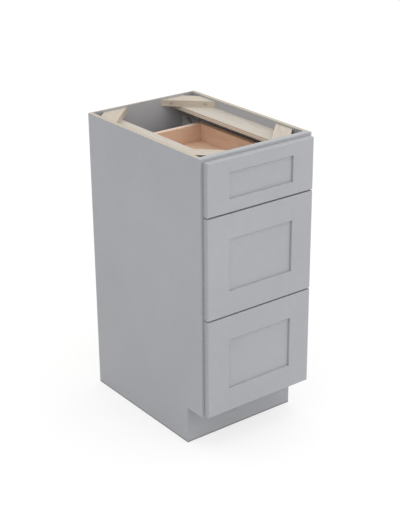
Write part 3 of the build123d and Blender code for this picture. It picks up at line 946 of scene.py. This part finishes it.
def dress_top():
    """Bare wood braces, their grain along the slant, and bare ply stretchers."""
    # The corner-cut faces are darkened to a quarter of the maple as painted shade of the narrow gap at each
    # corner
    shaded_corner_cut = end_grain_material("brace_corner_cut_painted_shade", scaled(MAPLE_DARK, CORNER_CUT_PAINTED_SHADE))
    slants = {}
    for sign, word in ((1, "falling"), (-1, "rising")):
        turn = sign * math.pi / 4
        slants[sign] = wood_material(
            f"brace_wood_{word}", MAPLE_LIGHT, MAPLE_DARK, "X", PLANED_ROUGHNESS, turn=turn,
        )
    for end, back in (("front", -1), ("back", 1)):
        for side, out in (("left", -1), ("right", 1)):
            dress(f"{end}_{side}_brace", slants[out * back], [(shaded_corner_cut, slanted(out, back))])
    low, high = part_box("left_top_stretcher")
    # The inner edges of the stretchers get a lighter ply colour as painted light on their shaded faces
    ply = ply_edge_material(
        "stretcher_edge_painted_light", "Z", low.z, high.z, STRETCHER_PLIES, STRETCHER_EDGE_PAINTED_LIGHT, thin=STRETCHER_THIN,
    )
    face = wood_material("stretcher_wood", STRETCHER_LIGHT, STRETCHER_DARK, "Y", PLANED_ROUGHNESS)
    for side, sign in (("left", 1), ("right", -1)):
        low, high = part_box(f"{side}_top_stretcher")
        inner = high.x if sign > 0 else low.x
        dress(f"{side}_top_stretcher", face, [(ply, facing("X", sign, inner))])
    plug_light = scaled(MAPLE_LIGHT, PLUG_SHADE)
    plug_dark = scaled(MAPLE_DARK, PLUG_SHADE)
    add_plugs(wood_material("plug_wood", plug_light, plug_dark, "Z", PLANED_ROUGHNESS))


def dress_drawers(paint, zinc):
    """Painted fronts on lacquered dovetailed boxes, with their runners, clips and screws."""
    across = wood_material("box_wood_across", BOX_LIGHT, BOX_DARK, "X", LACQUER_ROUGHNESS)
    along = wood_material("box_wood_along", BOX_LIGHT, BOX_DARK, "Y", LACQUER_ROUGHNESS)
    floor_light = scaled(BOX_LIGHT, BOX_FLOOR_SHADE)
    floor_dark = scaled(BOX_DARK, BOX_FLOOR_SHADE)
    floor = wood_material("box_floor_wood", floor_light, floor_dark, "Y", LACQUER_ROUGHNESS, BOX_FLOOR_FIGURE)
    # Top edges of the box fronts and backs: a lighter copy of the box wood as a painted highlight
    rim_across_painted_highlight = wood_material("box_rim_across", BOX_RIM_PAINTED_HIGHLIGHT, BOX_LIGHT, "X", RIM_ROUGHNESS)
    # Top edges of the box sides: a darker, warmer copy as painted shade of the stretchers above them
    rim_along_painted_shade = wood_material("box_rim_along", BOX_SIDE_RIM_PAINTED_SHADE, BOX_DARK, "Y", RIM_ROUGHNESS)
    ends = end_grain_material("box_end_grain", BOX_DARK)
    plastic = plastic_material()
    for drawer in DRAWERS:
        for name in ("front_stiles", "front_rails", "front_panel"):
            dress(f"{drawer}_{name}", paint)
        for name in ("box_front", "box_back"):
            low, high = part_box(f"{drawer}_{name}")
            pins = [(ends, facing("X", 1, high.x)), (ends, facing("X", -1, low.x))]
            dress(f"{drawer}_{name}", across, [(rim_across_painted_highlight, facing("Z", 1, high.z)), *pins])
        for name in ("box_left_side", "box_right_side"):
            low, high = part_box(f"{drawer}_{name}")
            tails = [(ends, facing("Y", 1, high.y)), (ends, facing("Y", -1, low.y))]
            dress(f"{drawer}_{name}", along, [(rim_along_painted_shade, facing("Z", 1, high.z)), *tails])
        dress(f"{drawer}_box_bottom", floor)
        for name in ("cabinet", "middle", "drawer"):
            dress(f"{drawer}_runner_{name}_members", zinc)
        add_clips(drawer, plastic)
        add_screws(f"{drawer}_cross_screws", f"{drawer}_front_screws", f"{drawer}_drawer", zinc)


def dress_cabinet():
    """Every surface and the small fittings."""
    paint = paint_material()
    zinc = zinc_material()
    dress_shell(paint)
    dress_top()
    dress_drawers(paint, zinc)
    dress("brace_screws", zinc)
    dress("runner_rear_brackets", galvanised_material())
    add_screws("runner_cross_screws", "runner_screws", "cabinet", zinc)
    add_pads(silicone_material())
    add_staples(zinc)


def soften_edges():
    """Eased edges on boards, fronts and pressed steel."""
    for name, piece in nodes.items():
        if piece.hide_render or "screws" in name:
            continue
        if "members" in name or "brackets" in name:
            soften(piece, STEEL_EASE)
        else:
            soften(piece, FRONT_EASE if "_front_" in name else BOARD_EASE)


def add_camera():
    """Camera at the photograph's viewing angle."""
    back = Vector((
        math.sin(CAMERA_AZIMUTH) * math.cos(CAMERA_ELEVATION),
        -math.cos(CAMERA_AZIMUTH) * math.cos(CAMERA_ELEVATION),
        math.sin(CAMERA_ELEVATION),
    ))
    right = Vector((math.cos(CAMERA_AZIMUTH), math.sin(CAMERA_AZIMUTH), 0.0))
    up = back.cross(right)
    rolled_right = right * math.cos(CAMERA_ROLL) + up * math.sin(CAMERA_ROLL)
    rolled_up = up * math.cos(CAMERA_ROLL) - right * math.sin(CAMERA_ROLL)
    data = bpy.data.cameras.new("camera")
    data.lens = CAMERA_LENS
    data.sensor_width = CAMERA_SENSOR
    data.sensor_fit = "AUTO"
    data.clip_end = CAMERA_REACH
    camera = bpy.data.objects.new("camera", data)
    turn = Matrix((rolled_right, rolled_up, back)).transposed().to_4x4()
    camera.matrix_world = Matrix.Translation(CAMERA_TARGET + back * CAMERA_DISTANCE) @ turn
    bpy.context.scene.collection.objects.link(camera)
    bpy.context.scene.camera = camera


def add_lamp(name, place, size, power):
    """Large soft round lamp turned to the middle of the cabinet."""
    data = bpy.data.lights.new(name, "AREA")
    data.shape = "DISK"
    data.size = size
    data.energy = power
    lamp = bpy.data.objects.new(name, data)
    lamp.location = place
    lamp.rotation_mode = "QUATERNION"
    lamp.rotation_quaternion = (LAMP_AIM - place).to_track_quat("-Z", "Y")
    bpy.context.scene.collection.objects.link(lamp)


def add_light():
    """White sky, a large soft lamp from the front right and a weaker one from the front left."""
    world = bpy.data.worlds.new("studio")
    world.use_nodes = True
    tree = world.node_tree
    tree.nodes.clear()
    output = tree.nodes.new("ShaderNodeOutputWorld")
    direction = tree.nodes.new("ShaderNodeTexCoord").outputs["Generated"]
    height = node(tree, "ShaderNodeSeparateXYZ", Vector=direction).outputs["Z"]
    strength = to_range(tree, height, SKY_HORIZON, SKY_ZENITH)
    sky = node(tree, "ShaderNodeBackground", Color=WHITE, Strength=strength)
    seen = node(tree, "ShaderNodeBackground", Color=WHITE, Strength=1.0)
    choose = tree.nodes.new("ShaderNodeMixShader")
    feed(tree, choose.inputs["Fac"], seen_directly(tree))
    feed(tree, choose.inputs[1], sky.outputs["Background"])
    feed(tree, choose.inputs[2], seen.outputs["Background"])
    feed(tree, output.inputs["Surface"], choose.outputs["Shader"])
    bpy.context.scene.world = world
    add_lamp("key", KEY_PLACE, KEY_SIZE, KEY_POWER)
    add_lamp("fill", FILL_PLACE, FILL_SIZE, FILL_POWER)


def add_floor():
    """Plain pale floor that takes the shadow."""
    half = FLOOR_SIZE / 2
    mesh = bpy.data.meshes.new("floor")
    outline = [(-half, -half), (half, -half), (half, half), (-half, half)]
    mesh.from_pydata([(x, y, -FLOOR_DROP) for x, y in outline], [], [(0, 1, 2, 3)])
    mesh.materials.append(floor_material())
    floor = bpy.data.objects.new("floor", mesh)
    bpy.context.scene.collection.objects.link(floor)


bpy.context.scene.view_settings.view_transform = "Standard"
dress_cabinet()
soften_edges()
add_camera()
add_light()
add_floor()
